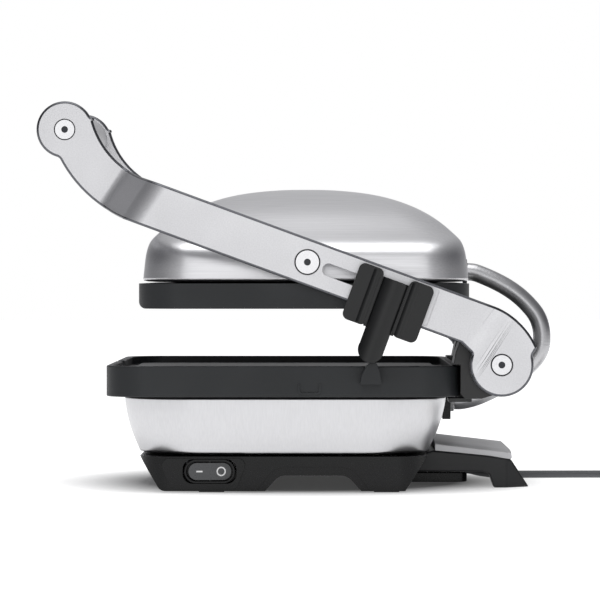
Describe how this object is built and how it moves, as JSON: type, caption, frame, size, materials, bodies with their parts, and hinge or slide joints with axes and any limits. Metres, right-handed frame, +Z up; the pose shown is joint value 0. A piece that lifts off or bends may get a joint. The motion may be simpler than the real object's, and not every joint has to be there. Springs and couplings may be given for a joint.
{
  "type": "panini press",
  "caption": "Panini press with a flat lower plate and a ribbed upper plate under a steel dome that floats on two arms.",
  "frame": {"origin": "on the table, midway across the box of the press without its mains lead", "axes": "+X the user's right, -Y the front with the handle, +Z up"},
  "size_m": [0.3268, 0.4994, 0.2776],
  "materials": {
    "brushed_steel": "brushed, satin",
    "arm_metal": "satin, bevelled edges",
    "cast_plate": "non-stick coat, fine texture",
    "black_plastic": "moulded, fine grain",
    "charcoal_plastic": "moulded",
    "silver_plastic": "painted silver",
    "rubber": "matte",
    "black_casting": "satin black",
    "steel": "turned",
    "aluminised": "rolled sheet",
    "bronze": "sintered",
    "ceramic": "glazed",
    "conduit_steel": "close-wound",
    "cord_pvc": "extruded",
    "brass": "plated"
  },
  "bodies": {
    "base": {"base_tray": "black_plastic", "rubber_feet": "rubber", "lower_housing": "brushed_steel", "lower_plate": "cast_plate", "slider_rest": "cast_plate", "lock_mark": "cast_plate", "lower_element": "steel", "lower_heat_shield": "aluminised", "lower_thermostat": "ceramic", "terminal_block": "ceramic", "housing_screws": "steel", "hinge_frame": "black_casting", "hinge_bushes": "bronze", "switch_bezel": "black_plastic", "switch_body": "black_plastic", "tail_body": "charcoal_plastic", "tail_cover": "silver_plastic", "cord_cleats": "black_plastic", "strain_relief": "black_plastic", "lower_gland": "silver_plastic", "lower_gland_plate": "black_plastic", "conduit": "conduit_steel", "cord_lead": "cord_pvc", "cord_coil": "cord_pvc", "cord_end": "cord_pvc", "plug_body": "black_plastic", "plug_blades": "brass"},
    "rocker": {"rocker": "charcoal_plastic"},
    "shaft": {"hinge_shaft": "steel", "hinge_caps": "arm_metal"},
    "arms": {"arm_right": "arm_metal", "arm_left": "arm_metal", "handle_grip": "arm_metal", "grip_rod": "steel", "grip_screws": "arm_metal"},
    "head": {"upper_housing": "brushed_steel", "upper_plate": "cast_plate", "upper_element": "steel", "upper_heat_shield": "aluminised", "upper_thermostat": "ceramic", "head_frame": "steel", "pivot_studs": "steel", "pivot_caps": "arm_metal", "upper_gland": "charcoal_plastic"},
    "slider": {"height_slider": "black_plastic", "slider_key": "steel"}
  },
  "joints": [
    {"name": "lid_open", "type": "hinge", "parent": "base", "child": "shaft", "pos_m": [0, 0.1421, 0.0907], "axis": [-1, 0, 0], "range_deg": [0, 75], "deforming": ["conduit"]},
    {"name": "arms_press", "type": "hinge", "parent": "shaft", "child": "arms", "pos_m": [0, 0.1421, 0.0907], "axis": [1, 0, 0], "range_deg": [0, 15.8], "deforming": ["conduit"]},
    {"name": "head_float", "type": "hinge", "parent": "arms", "child": "head", "pos_m": [0, 0.006, 0.1627], "axis": [-1, 0, 0], "range_deg": [-2, 18]},
    {"name": "slider_slide", "type": "slide", "parent": "arms", "child": "slider", "axis": [0, -0.9388, 0.3445], "range_m": [0, 0.0468]},
    {"name": "rocker_tip", "type": "hinge", "parent": "base", "child": "rocker", "pos_m": [0.126, -0.063, 0.0152], "axis": [0, 0, 1], "range_deg": [-6, 0]}
  ],
  "couplings": [
    {"joint": "head_float", "follows": "arms_press", "ratio": 1},
    {"joint": "slider_slide", "follows": "arms_press", "m_per_rad": 0.16935}
  ]
}
